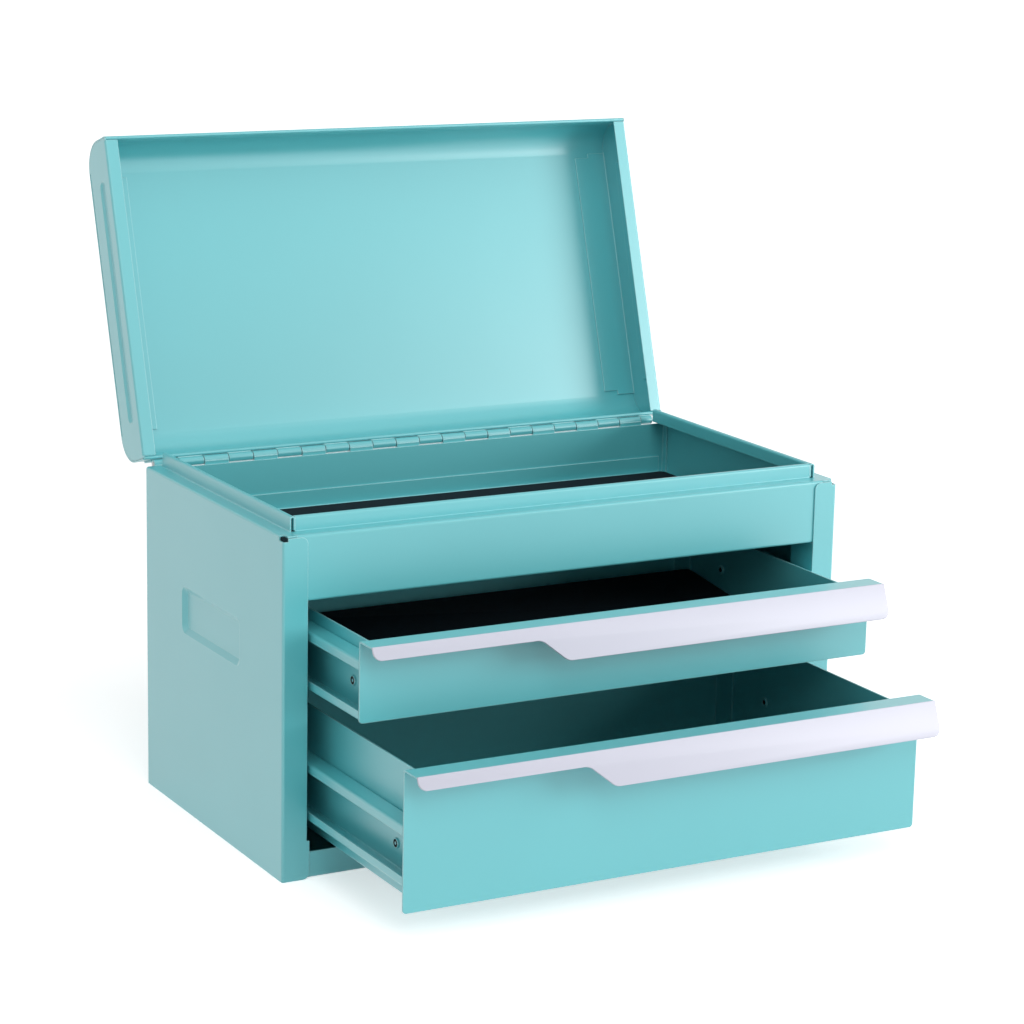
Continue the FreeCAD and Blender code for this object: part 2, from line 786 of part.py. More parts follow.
def case():
    """Every fixed piece of the case, by node name."""
    left = side_panel()
    upper_runner = runner(upper_channel_centre, -wall_inside + grip_depth)
    lower_runner = runner(lower_channel_centre, -wall_inside)
    return {
        "left_side_panel": left,
        "right_side_panel": mirrored(left),
        "back_panel": back_panel(),
        "base_panel": base_panel(),
        "front_fascia": front_fascia(),
        "tray_pan": tray_pan(),
        "tray_mat": tray_mat(),
        "upper_left_runner": upper_runner,
        "upper_right_runner": mirrored(upper_runner),
        "lower_left_runner": lower_runner,
        "lower_right_runner": mirrored(lower_runner),
        "hinge_case_leaf": hinge_leaf(True),
        "hinge_pin": hinge_pin(),
    }


def lid():
    """Every piece that turns with the lid, by node name, where the lid stands open."""
    left = lid_end()
    shut = {
        "lid_skin": lid_skin(),
        "lid_left_end": left,
        "lid_right_end": mirrored(left),
        "hinge_lid_leaf": hinge_leaf(False),
    }
    return {name: opened(solid) for name, solid in shut.items()}


os.makedirs("parts", exist_ok=True)
nodes = {}
nodes.update(case())
nodes.update(lid())
nodes.update(drawer("upper", upper_front_bottom, upper_front_height, upper_channel_rise,
                    upper_rivet_rear_rise, upper_pulled_out))
nodes.update(drawer("lower", lower_front_bottom, lower_front_height, lower_channel_rise,
                    lower_rivet_rear_rise, lower_pulled_out))
for name, solid in nodes.items():
    print(f"{name}: {len(solid.Solids)} solid(s), valid {solid.isValid()}, {solid.Volume:.0f} mm3")
    solid.exportStep(f"parts/{name}.step")
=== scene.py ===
"""Looks for a small steel tool chest: a lidded tray over two drawers, in turquoise powder coat.

Metres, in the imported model's own frame: X to the right, Y to the back and Z up.
"""

import json
import logging
import math
from collections.abc import Callable
from dataclasses import dataclass
from enum import Enum

import bmesh
import bpy
from mathutils import Matrix, Vector


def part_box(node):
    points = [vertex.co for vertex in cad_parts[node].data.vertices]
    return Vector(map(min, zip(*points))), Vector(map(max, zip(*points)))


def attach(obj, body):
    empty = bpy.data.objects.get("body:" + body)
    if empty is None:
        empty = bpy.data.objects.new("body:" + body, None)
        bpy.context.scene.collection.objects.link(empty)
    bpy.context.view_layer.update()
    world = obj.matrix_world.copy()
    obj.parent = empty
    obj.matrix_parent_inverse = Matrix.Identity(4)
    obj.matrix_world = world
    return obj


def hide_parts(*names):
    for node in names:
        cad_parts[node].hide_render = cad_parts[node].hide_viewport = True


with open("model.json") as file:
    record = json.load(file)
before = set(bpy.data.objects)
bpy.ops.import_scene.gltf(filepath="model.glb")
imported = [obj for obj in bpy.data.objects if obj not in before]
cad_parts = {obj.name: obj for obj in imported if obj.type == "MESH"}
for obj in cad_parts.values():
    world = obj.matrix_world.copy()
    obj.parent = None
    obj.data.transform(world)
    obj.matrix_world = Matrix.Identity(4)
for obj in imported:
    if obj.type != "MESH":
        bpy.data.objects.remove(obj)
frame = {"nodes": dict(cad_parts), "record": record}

LOG = logging.getLogger("tool_chest")
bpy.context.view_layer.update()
MM = 0.001
WHITE = (1.0, 1.0, 1.0, 1.0)
NOISE_DETAIL = 2.0
CORNER_SEGMENTS = 6
EDGE_SEGMENTS = 2
ROUNDED_ANGLE = math.radians(35)
SMOOTH_ANGLE = math.radians(40)
DRAWER_CURL = 8.5 * MM


# What the record calls things

class Body(Enum):
    """The bodies that new pieces ride on."""

    CASE = "case"
    UPPER_DRAWER = "upper_drawer"
    LOWER_DRAWER = "lower_drawer"


class Slot(Enum):
    """The record's material slots."""

    COAT = "turquoise_powder_coat"
    PULL = "white_pull"
    FOAM = "foam_liner"
    WIRE = "steel_wire"
    RIVET = "coated_rivet"


# Colours and shader nodes

def linear(colour: str) -> tuple[float, float, float, float]:
    """Turn an sRGB hex colour to linear.

    Args:
        colour: Six hex digits after a hash.

    Returns:
        Linear red, green and blue, with a full alpha.
    """
    channels = []
    for start in (1, 3, 5):
        value = int(colour[start:start + 2], 16) / 255
        # The sRGB curve is straight near black and a power above that.
        channels.append(value / 12.92 if value <= 0.04045 else ((value + 0.055) / 1.055) ** 2.4)
    return (channels[0], channels[1], channels[2], 1.0)


def add_node(tree: bpy.types.NodeTree, kind: str, settings: dict | None = None,
             inputs: dict | None = None) -> bpy.types.Node:
    """Add a node with its settings, values and links.

    Args:
        tree: The node tree.
        kind: The node's type name.
        settings: Properties of the node.
        inputs: A value or an output socket for each named or numbered input.

    Returns:
        The new node.
    """
    node = tree.nodes.new(kind)
    for name, value in (settings or {}).items():
        setattr(node, name, value)
    for name, value in (inputs or {}).items():
        if isinstance(value, bpy.types.NodeSocket):
            tree.links.new(value, node.inputs[name])
        else:
            node.inputs[name].default_value = value
    return node


def new_material(name: str) -> tuple[bpy.types.Material, bpy.types.NodeTree]:
    """Make a material with an empty node tree.

    Args:
        name: The material's name.

    Returns:
        The material and its tree.
    """
    material = bpy.data.materials.new(name)
    material.use_nodes = True
    material.node_tree.nodes.clear()
    return material, material.node_tree


def finish_material(tree: bpy.types.NodeTree, shader: bpy.types.Node) -> None:
    """Link a shader to a new output.

    Args:
        tree: The material's tree.
        shader: The node that shades the surface.
    """
    add_node(tree, "ShaderNodeOutputMaterial", None, {"Surface": shader.outputs[0]})


def own_place(tree: bpy.types.NodeTree) -> bpy.types.NodeSocket:
    """Add the piece's own coordinates.

    Args:
        tree: The material's tree.

    Returns:
        The socket that gives them, in metres.
    """
    return add_node(tree, "ShaderNodeTexCoord").outputs["Object"]


def noise(tree: bpy.types.NodeTree, place: bpy.types.NodeSocket, size: float,
          detail: float = NOISE_DETAIL) -> bpy.types.NodeSocket:
    """Add noise.

    Args:
        tree: The material's tree.
        place: The coordinates it follows.
        size: The size of its clouds, in metres.
        detail: How much finer noise is laid over it.

    Returns:
        The noise, from 0 to 1.
    """
    clouds = add_node(tree, "ShaderNodeTexNoise", None,
                      {"Vector": place, "Scale": 1 / size, "Detail": detail})
    return clouds.outputs[0]


def blend(tree: bpy.types.NodeTree, share: bpy.types.NodeSocket,
          first: bpy.types.NodeSocket | tuple[float, float, float, float],
          second: tuple[float, float, float, float]) -> bpy.types.NodeSocket:
    """Mix two colours.

    Args:
        tree: The material's tree.
        share: How much there is of the second colour, from 0 to 1.
        first: The first colour.
        second: The second colour.

    Returns:
        The mixed colour.
    """
    mix = add_node(tree, "ShaderNodeMix", {"data_type": "RGBA"}, {0: share, 6: first, 7: second})
    return mix.outputs[2]


def graded(tree: bpy.types.NodeTree, share: bpy.types.NodeSocket,
           ends: tuple[float, float]) -> bpy.types.NodeSocket:
    """Spread a value from 0 to 1 over another range.

    Args:
        tree: The material's tree.
        share: The value.
        ends: What 0 and 1 become.

    Returns:
        The value in its new range.
    """
    spread = add_node(tree, "ShaderNodeMapRange", None,
                      {"Value": share, "To Min": ends[0], "To Max": ends[1]})
    return spread.outputs[0]


def seen_directly(tree: bpy.types.NodeTree) -> bpy.types.NodeSocket:
    """Add the test for rays that show the background: from the camera, or by gloss or transmission.

    Args:
        tree: The tree of a material or a world.

    Returns:
        A socket that is 1 for such a ray and 0 for any other.
    """
    path = add_node(tree, "ShaderNodeLightPath")
    mirrored = add_node(tree, "ShaderNodeMath", {"operation": "MAXIMUM"},
                        {0: path.outputs["Is Camera Ray"], 1: path.outputs["Is Glossy Ray"]})
    either = add_node(tree, "ShaderNodeMath", {"operation": "MAXIMUM"},
                      {0: mirrored.outputs[0], 1: path.outputs["Is Transmission Ray"]})
    return either.outputs[0]


# Finishes

@dataclass(frozen=True)
class PowderCoat:
    """Polyester powder baked on sheet steel: satin, with a faint orange peel that softens its highlights,
    and a painted highlight in a paler colour along its edges and folds.

    Attributes:
        pooled_colour: Where the powder lies thicker, in clouds of cloud_mm.
        edge_highlight_colour: A paler colour painted along edges and folds, as a painted highlight.
        peel_mm: The width of the orange peel's dimples.
        edge_radius_mm: How far from an edge the painted highlight reaches.
        edge_cosine: The cosine of the turn at which the painted highlight shows most.
        edge_highlight_share: How much of the painted highlight's colour shows there.
        roughness: The least and the most.
        clear_weight: How much clear gloss lies over the powder.
    """

    name: str = "turquoise_powder_coat"
    colour: str = "#5CC1C8"
    pooled_colour: str = "#57BBC2"
    edge_highlight_colour: str = "#C4F2F4"
    cloud_mm: float = 85.0
    peel_mm: float = 1.7
    peel_depth_mm: float = 0.02
    edge_radius_mm: float = 0.55
    peel_detail: float = 1.0
    peel_strength: float = 0.35
    edge_samples: int = 4
    edge_cosine: float = 0.87
    edge_highlight_share: float = 0.85
    roughness: tuple[float, float] = (0.33, 0.41)
    ior: float = 1.6
    clear_weight: float = 1.0
    clear_roughness: float = 0.38
    clear_ior: float = 1.65

    def build(self) -> bpy.types.Material:
        """Return the coat's material."""
        material, tree = new_material(self.name)
        place = own_place(tree)
        cloud = noise(tree, place, self.cloud_mm * MM)
        peel = noise(tree, place, self.peel_mm * MM, self.peel_detail)
        body = blend(tree, cloud, linear(self.colour), linear(self.pooled_colour))
        # Edges and folds are found by the bevel's rounded normal against the flat one; they get a paler
        # colour, a painted highlight.
        soft = add_node(tree, "ShaderNodeBevel", {"samples": self.edge_samples},
                        {"Radius": self.edge_radius_mm * MM})
        flat = add_node(tree, "ShaderNodeNewGeometry")
        turn = add_node(tree, "ShaderNodeVectorMath", {"operation": "DOT_PRODUCT"},
                        {0: soft.outputs[0], 1: flat.outputs["Normal"]})
        edge = add_node(tree, "ShaderNodeMapRange", None,
                        {"Value": turn.outputs["Value"], "From Min": 1.0, "From Max": self.edge_cosine,
                         "To Min": 0.0, "To Max": self.edge_highlight_share})
        bump = add_node(tree, "ShaderNodeBump", None,
                        {"Height": peel, "Normal": soft.outputs[0], "Strength": self.peel_strength,
                         "Distance": self.peel_depth_mm * MM})
        # The base colour turns paler along edges: painted highlight.
        shader = add_node(tree, "ShaderNodeBsdfPrincipled", None,
                          {"Base Color": blend(tree, edge.outputs[0], body, linear(self.edge_highlight_colour)),
                           "Roughness": graded(tree, cloud, self.roughness),
                           "IOR": self.ior, "Normal": bump.outputs[0],
                           "Coat Weight": self.clear_weight, "Coat Roughness": self.clear_roughness,
                           "Coat IOR": self.clear_ior, "Coat Normal": bump.outputs[0]})
        finish_material(tree, shader)
        return material


@dataclass(frozen=True)
class SatinAbs:
    """Moulded ABS in a cool white: a fine even texture from the mould and a soft broad highlight.

    Attributes:
        shade_colour: The other end of its faint clouds, of cloud_mm.
        grain_mm: The width of the mould's grain.
        roughness: The least and the most.
    """

    name: str = "satin_white_abs"
    colour: str = "#CDCEDC"
    shade_colour: str = "#C9CAD8"
    cloud_mm: float = 60.0
    grain_mm: float = 0.9
    grain_depth_mm: float = 0.012
    grain_strength: float = 0.3
    roughness: tuple[float, float] = (0.36, 0.44)
    ior: float = 1.53

    def build(self) -> bpy.types.Material:
        """Return the plastic's material."""
        material, tree = new_material(self.name)
        place = own_place(tree)
        cloud = noise(tree, place, self.cloud_mm * MM)
        grain = noise(tree, place, self.grain_mm * MM)
        bump = add_node(tree, "ShaderNodeBump", None,
                        {"Height": grain, "Strength": self.grain_strength,
                         "Distance": self.grain_depth_mm * MM})
        shader = add_node(tree, "ShaderNodeBsdfPrincipled", None,
                          {"Base Color": blend(tree, cloud, linear(self.colour), linear(self.shade_colour)),
                           "Roughness": graded(tree, grain, self.roughness),
                           "IOR": self.ior, "Normal": bump.outputs[0]})
        finish_material(tree, shader)
        return material


@dataclass(frozen=True)
class ClosedCellFoam:
    """Closed-cell EVA sheet: near black and matt, with skinned-over cells that catch a little light.

    Attributes:
        cell_colour: The colour at the walls of its cells.
        cell_mm: The width of a cell.
    """

    name: str = "closed_cell_foam"
    colour: str = "#0A161D"
    cell_colour: str = "#101F28"
    cell_mm: float = 1.1
    cell_depth_mm: float = 0.12
    cell_strength: float = 0.5
    roughness: float = 0.96
    ior: float = 1.25

    def build(self) -> bpy.types.Material:
        """Return the foam's material."""
        material, tree = new_material(self.name)
        cells = add_node(tree, "ShaderNodeTexVoronoi", None,
                         {"Vector": own_place(tree), "Scale": 1 / (self.cell_mm * MM)})
        depth = cells.outputs["Distance"]
        bump = add_node(tree, "ShaderNodeBump", None,
                        {"Height": depth, "Strength": self.cell_strength,
                         "Distance": self.cell_depth_mm * MM})
        shader = add_node(tree, "ShaderNodeBsdfPrincipled", None,
                          {"Base Color": blend(tree, depth, linear(self.colour), linear(self.cell_colour)),
                           "Roughness": self.roughness, "IOR": self.ior, "Normal": bump.outputs[0]})
        finish_material(tree, shader)
        return material


@dataclass(frozen=True)
class DrawnWire:
    """Drawn steel wire: bright, with fine die lines along its length.

    Attributes:
        worn_colour: The colour in its die lines.
        line_mm: The width of a die line.
        line_stretch: The scale of the noise along the wire, which draws it out to lines.
        roughness: The least and the most.
    """

    name: str = "drawn_steel_wire"
    colour: str = "#B9BBBD"
    worn_colour: str = "#9EA1A4"
    line_mm: float = 0.5
    line_stretch: float = 0.02
    roughness: tuple[float, float] = (0.28, 0.42)

    def build(self) -> bpy.types.Material:
        """Return the wire's material."""
        material, tree = new_material(self.name)
        along = add_node(tree, "ShaderNodeMapping", None,
                         {"Vector": own_place(tree), "Scale": (self.line_stretch, 1.0, 1.0)})
        lines = noise(tree, along.outputs[0], self.line_mm * MM)
        shader = add_node(tree, "ShaderNodeBsdfPrincipled", None,
                          {"Base Color": blend(tree, lines, linear(self.colour), linear(self.worn_colour)),
                           "Metallic": 1.0, "Roughness": graded(tree, lines, self.roughness)})
        finish_material(tree, shader)
        return material


@dataclass(frozen=True)
class PaintedRivetShade:
    """A dark steel colour painted inside a rivet's groove and hollow, as painted shade.

    Attributes:
        light_colour: The other end of its grain, of grain_mm.
    """

    name: str = "painted_rivet_shade"
    colour: str = "#12181A"
    light_colour: str = "#1D2426"
    grain_mm: float = 0.4
    roughness: float = 0.7

    def build(self) -> bpy.types.Material:
        """Return the dark steel's material."""
        material, tree = new_material(self.name)
        grain = noise(tree, own_place(tree), self.grain_mm * MM)
        shader = add_node(tree, "ShaderNodeBsdfPrincipled", None,
                          {"Base Color": blend(tree, grain, linear(self.colour), linear(self.light_colour)),
                           "Roughness": self.roughness})
        finish_material(tree, shader)
        return material


@dataclass(frozen=True)
class StudioPaper:
    """Matt white background paper. It shows white to the camera and in reflections, under its shadows.

    Attributes:
        near: The distance from the chest, in metres, up to which it is lifted by near_lift.
        far: The distance from which it is lifted by far_lift.
    """

    name: str = "studio_paper"
    colour: str = "#F2F2F2"
    near: float = 0.4
    near_lift: float = 0.55
    far: float = 3.0
    far_lift: float = 0.82

    def build(self) -> bpy.types.Material:
        """Return the paper's material."""
        material, tree = new_material(self.name)
        seen = seen_directly(tree)
        paper = add_node(tree, "ShaderNodeBsdfDiffuse", None, {"Color": linear(self.colour)})
        glow = add_node(tree, "ShaderNodeEmission", None, {"Color": WHITE})
        distance = add_node(tree, "ShaderNodeVectorMath", {"operation": "LENGTH"}, {0: own_place(tree)})
        lift = add_node(tree, "ShaderNodeMapRange", None,
                        {"Value": distance.outputs["Value"], "From Min": self.near, "From Max": self.far,
                         "To Min": self.near_lift, "To Max": self.far_lift})
        strength = add_node(tree, "ShaderNodeMath", {"operation": "MULTIPLY"}, {0: seen, 1: lift.outputs[0]})
        tree.links.new(strength.outputs[0], glow.inputs["Strength"])
        shader = add_node(tree, "ShaderNodeAddShader", None, {0: paper.outputs[0], 1: glow.outputs[0]})
        finish_material(tree, shader)
        return material


# Modelling steps

def deselect_everything() -> None:
    """Leave edit mode and deselect every object."""
    if bpy.context.mode != "OBJECT":
        bpy.ops.object.mode_set(mode="OBJECT")
    bpy.ops.object.select_all(action="DESELECT")


def choose(piece: bpy.types.Object) -> None:
    """Select one object and make it the active one.

    Args:
        piece: The object.
    """
    deselect_everything()
    piece.select_set(True)
    bpy.context.view_layer.objects.active = piece


def pick(piece: bpy.types.Object, part: str, test: Callable[[Vector], bool]) -> None:
    """Select vertices, edges or faces of the piece in edit mode by the place of their middle.

    Args:
        piece: The object in edit mode.
        part: One of VERT, EDGE and FACE.
        test: Whether a part whose middle is there is wanted.
    """
    bpy.ops.mesh.select_mode(type=part)
    bpy.ops.mesh.select_all(action="DESELECT")
    mesh = bmesh.from_edit_mesh(piece.data)
    sequence = {"VERT": mesh.verts, "EDGE": mesh.edges, "FACE": mesh.faces}[part]
    for element in sequence:
        if part == "VERT":
            middle = element.co
        elif part == "EDGE":
            middle = (element.verts[0].co + element.verts[1].co) / 2
        else:
            middle = element.calc_center_median()
        if test(middle):
            element.select_set(True)
    mesh.select_flush_mode()
    bmesh.update_edit_mesh(piece.data)


def rounded_block(name: str, low: Vector, high: Vector, corner: float, edge: float) -> bpy.types.Object:
    """Model a flat block with rounded corners seen from above, and softened edges.

    Args:
        name: The object's name.
        low: Its lowest corner.
        high: Its highest corner.
        corner: The radius of its four upright edges.
        edge: The radius of its other edges.

    Returns:
        The block.
    """
    deselect_everything()
    bpy.ops.mesh.primitive_cube_add(size=1.0, location=(low + high) / 2)
    piece = bpy.context.active_object
    piece.name = name
    piece.scale = high - low
    bpy.ops.object.transform_apply(location=True, rotation=True, scale=True)
    bpy.ops.object.mode_set(mode="EDIT")
    middle_z = (low.z + high.z) / 2
    pick(piece, "EDGE", lambda at: abs(at.z - middle_z) < (high.z - low.z) / 4)
    bpy.ops.mesh.bevel(offset=corner, segments=CORNER_SEGMENTS, affect="EDGES")
    bpy.ops.object.mode_set(mode="OBJECT")
    soften(piece, edge, EDGE_SEGMENTS)
    return piece


def soften(piece: bpy.types.Object, width: float, segments: int) -> None:
    """Round a piece's sharp edges, apply that, and shade it smooth between them.

    Args:
        piece: The piece.
        width: The width of the rounding.
        segments: How many faces go round an edge.
    """
    choose(piece)
    rounding = piece.modifiers.new("rounding", "BEVEL")
    rounding.width = width
    rounding.segments = segments
    rounding.limit_method = "ANGLE"
    rounding.angle_limit = ROUNDED_ANGLE
    bpy.ops.object.modifier_apply(modifier=rounding.name)
    bpy.ops.object.shade_smooth_by_angle(angle=SMOOTH_ANGLE)


def hand_over(piece: bpy.types.Object, body: Body, material: bpy.types.Material,
              replaced: list[str]) -> None:
    """Dress a finished piece and say what it rides on and stands for.

    Args:
        piece: The piece, with its place in its mesh.
        body: The body it rides on.
        material: Its material.
        replaced: The CAD nodes it stands for.
    """
    if material.name not in piece.data.materials:
        piece.data.materials.clear()
        piece.data.materials.append(material)
    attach(piece, body.value)
    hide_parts(*replaced)
    LOG.info("%s rides on %s, %d faces", piece.name, body.value, len(piece.data.polygons))


# Pieces

@dataclass(frozen=True)
class DrawerPull:
    """The white strip along the top of a drawer's front, with a dog-leg in its lower edge.

    Attributes:
        narrow: The strip's width at its left.
        wide: Its width from the dog-leg to its right.
        lean: How far it leans forwards at its foot.
        corner: The radius of its lower corners.
        step_corner: The radius of the dog-leg's two bends.
        step_start: How far from the left end the dog-leg starts.
        step_run: How far along it runs.
        tab_reach: How far the tab under the front's flange reaches back.
        tab_margin: How far its ends stay from the front's ends.
        flange_sheet: The thickness of that flange.
        near: How close counts as the same place.
    """

    drawer: Body
    thickness: float = 1.2 * MM
    narrow: float = 7.0 * MM
    wide: float = 18.6 * MM
    lean: float = math.radians(22.0)
    corner: float = 4.5 * MM
    step_corner: float = 6.0 * MM
    step_start: float = 92.0 * MM
    step_run: float = 13.0 * MM
    tab_reach: float = 8.0 * MM
    tab_margin: float = 6.0 * MM
    flange_sheet: float = 0.8 * MM
    edge: float = 0.3 * MM
    edge_segments: int = 3
    corner_segments: int = 8
    near: float = 0.1 * MM

    def build(self, material: bpy.types.Material) -> bpy.types.Object:
        """Model the pull, fitted to its drawer's front.

        Args:
            material: The pull's finish.

        Returns:
            The finished pull.
        """
        low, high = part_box(f"{self.drawer.value}_front")
        strip = self.strip(low.x, high.x)
        strip.rotation_euler = (-self.lean, 0.0, 0.0)
        strip.location = (0.0, low.y, high.z)
        choose(strip)
        bpy.ops.object.transform_apply(location=True, rotation=True, scale=True)
        tab_front = low.y - self.thickness / 2
        tab_top = high.z - self.flange_sheet
        tab = rounded_block("tab", Vector((low.x + self.tab_margin, tab_front, tab_top - self.thickness)),
                            Vector((high.x - self.tab_margin, tab_front + self.tab_reach, tab_top)),
                            self.thickness, self.edge / 2)
        choose(strip)
        union = strip.modifiers.new("union", "BOOLEAN")
        union.operation = "UNION"
        union.solver = "EXACT"
        union.object = tab
        bpy.ops.object.modifier_apply(modifier=union.name)
        bpy.data.objects.remove(tab)
        bpy.ops.object.shade_smooth_by_angle(angle=SMOOTH_ANGLE)
        hand_over(strip, self.drawer, material, [f"{self.drawer.value}_pull"])
        return strip

    def strip(self, left: float, right: float) -> bpy.types.Object:
        """Model the strip upright, with its top edge at the origin's height.

        Args:
            left: Its left end.
            right: Its right end.

        Returns:
            The strip, its outer face towards -Y.
        """
        deselect_everything()
        bpy.ops.mesh.primitive_plane_add(size=1.0, rotation=(math.pi / 2, 0.0, 0.0))
        strip = bpy.context.active_object
        strip.name = f"{self.drawer.value}_moulded_pull"
        strip.scale = (right - left, self.wide, 1.0)
        strip.location = ((left + right) / 2, 0.0, -self.wide / 2)
        bpy.ops.object.transform_apply(location=True, rotation=True, scale=True)
        bpy.ops.object.mode_set(mode="EDIT")
        step = left + self.step_start
        step_end = step + self.step_run
        for cut in (step, step_end):
            bpy.ops.mesh.select_all(action="SELECT")
            bpy.ops.mesh.bisect(plane_co=(cut, 0.0, 0.0), plane_no=(1.0, 0.0, 0.0))
        near = self.near
        pick(strip, "VERT", lambda at: at.z < near - self.wide and at.x < step + near)
        bpy.ops.transform.translate(value=(0.0, 0.0, self.wide - self.narrow))
        # This dissolves the two cuts. The outline's edges have a face on one side only, and stay.
        pick(strip, "EDGE", lambda at: -self.wide + near < at.z < -near and left + near < at.x < right - near
             and not step + near < at.x < step_end - near)
        bpy.ops.mesh.dissolve_edges(use_verts=False)
        turn = math.atan2(self.wide - self.narrow, self.step_run)
        self.round_corners(strip, lambda at: at.z < -near and (at.x < left + near or at.x > right - near),
                           self.corner)
        self.round_corners(strip, lambda at: at.z < -near and step - near < at.x < step_end + near,
                           self.step_corner * math.tan(turn / 2))
        bpy.ops.object.mode_set(mode="OBJECT")
        wall = strip.modifiers.new("wall", "SOLIDIFY")
        wall.thickness = self.thickness
        wall.offset = 1.0
        bpy.ops.object.modifier_apply(modifier=wall.name)
        soften(strip, self.edge, self.edge_segments)
        return strip

    def round_corners(self, strip: bpy.types.Object, test: Callable[[Vector], bool], reach: float) -> None:
        """Round some corners of the flat strip.

        Args:
            strip: The strip, in edit mode.
            test: Which corners.
            reach: How far along each side the rounding starts.
        """
        pick(strip, "VERT", test)
        bpy.ops.mesh.bevel(offset=reach, segments=self.corner_segments, affect="VERTICES")


@dataclass(frozen=True)
class FoamLiner:
    """A die-cut sheet of foam that lies on a floor, and may curl up towards its rear edge.

    Attributes:
        node: The CAD node it stands for.
        floor: The CAD node it lies on. It is not used.
        curl_rise: How far its rear edge stands up.
        curl_length: How far from the rear edge the middle of the bend is.
        bend_length: How long the bend is.
        near: How close counts as the same place.
    """

    node: str
    body: Body
    floor: str
    curl_rise: float = 0.0
    curl_length: float = 72.6 * MM
    bend_length: float = 36.0 * MM
    bend_steps: int = 6
    thickness: float = 1.2 * MM
    corner: float = 3.0 * MM
    edge: float = 0.25 * MM
    near: float = 0.01 * MM

    def build(self, material: bpy.types.Material) -> bpy.types.Object:
        """Model the liner where its CAD solid lies.

        Args:
            material: The foam.

        Returns:
            The finished liner.
        """
        low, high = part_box(self.node)
        rear = high.y
        if self.curl_rise:
            rear += math.hypot(self.curl_length, self.curl_rise) - self.curl_length
        top = Vector((high.x, rear, low.z + self.thickness))
        liner = rounded_block(f"{self.node}_die_cut", low, top, self.corner, self.edge)
        if self.curl_rise:
            self.curl(liner, high.y - self.curl_length, low.z)
        hand_over(liner, self.body, material, [self.node])
        return liner

    def curl(self, liner: bpy.types.Object, bend: float, height: float) -> None:
        """Cut the liner across where it bends, and turn what lies behind each cut up a little.

        Args:
            liner: The flat liner.
            bend: The middle of the bend along Y.
            height: The height of the liner's underside.
        """
        start = bend - self.bend_length / 2
        cuts = [start + self.bend_length * step / self.bend_steps for step in range(self.bend_steps + 1)]
        turn = math.atan2(self.curl_rise, self.curl_length) / len(cuts)
        choose(liner)
        bpy.ops.object.mode_set(mode="EDIT")
        for cut in cuts:
            bpy.ops.mesh.select_all(action="SELECT")
            bpy.ops.mesh.bisect(plane_co=(0.0, cut, 0.0), plane_no=(0.0, 1.0, 0.0))
        for cut in reversed(cuts):
            pick(liner, "VERT", lambda at, cut=cut: at.y > cut + self.near)
            bpy.ops.transform.rotate(value=-turn, orient_axis="X", center_override=(0.0, cut, height))
        bpy.ops.object.mode_set(mode="OBJECT")


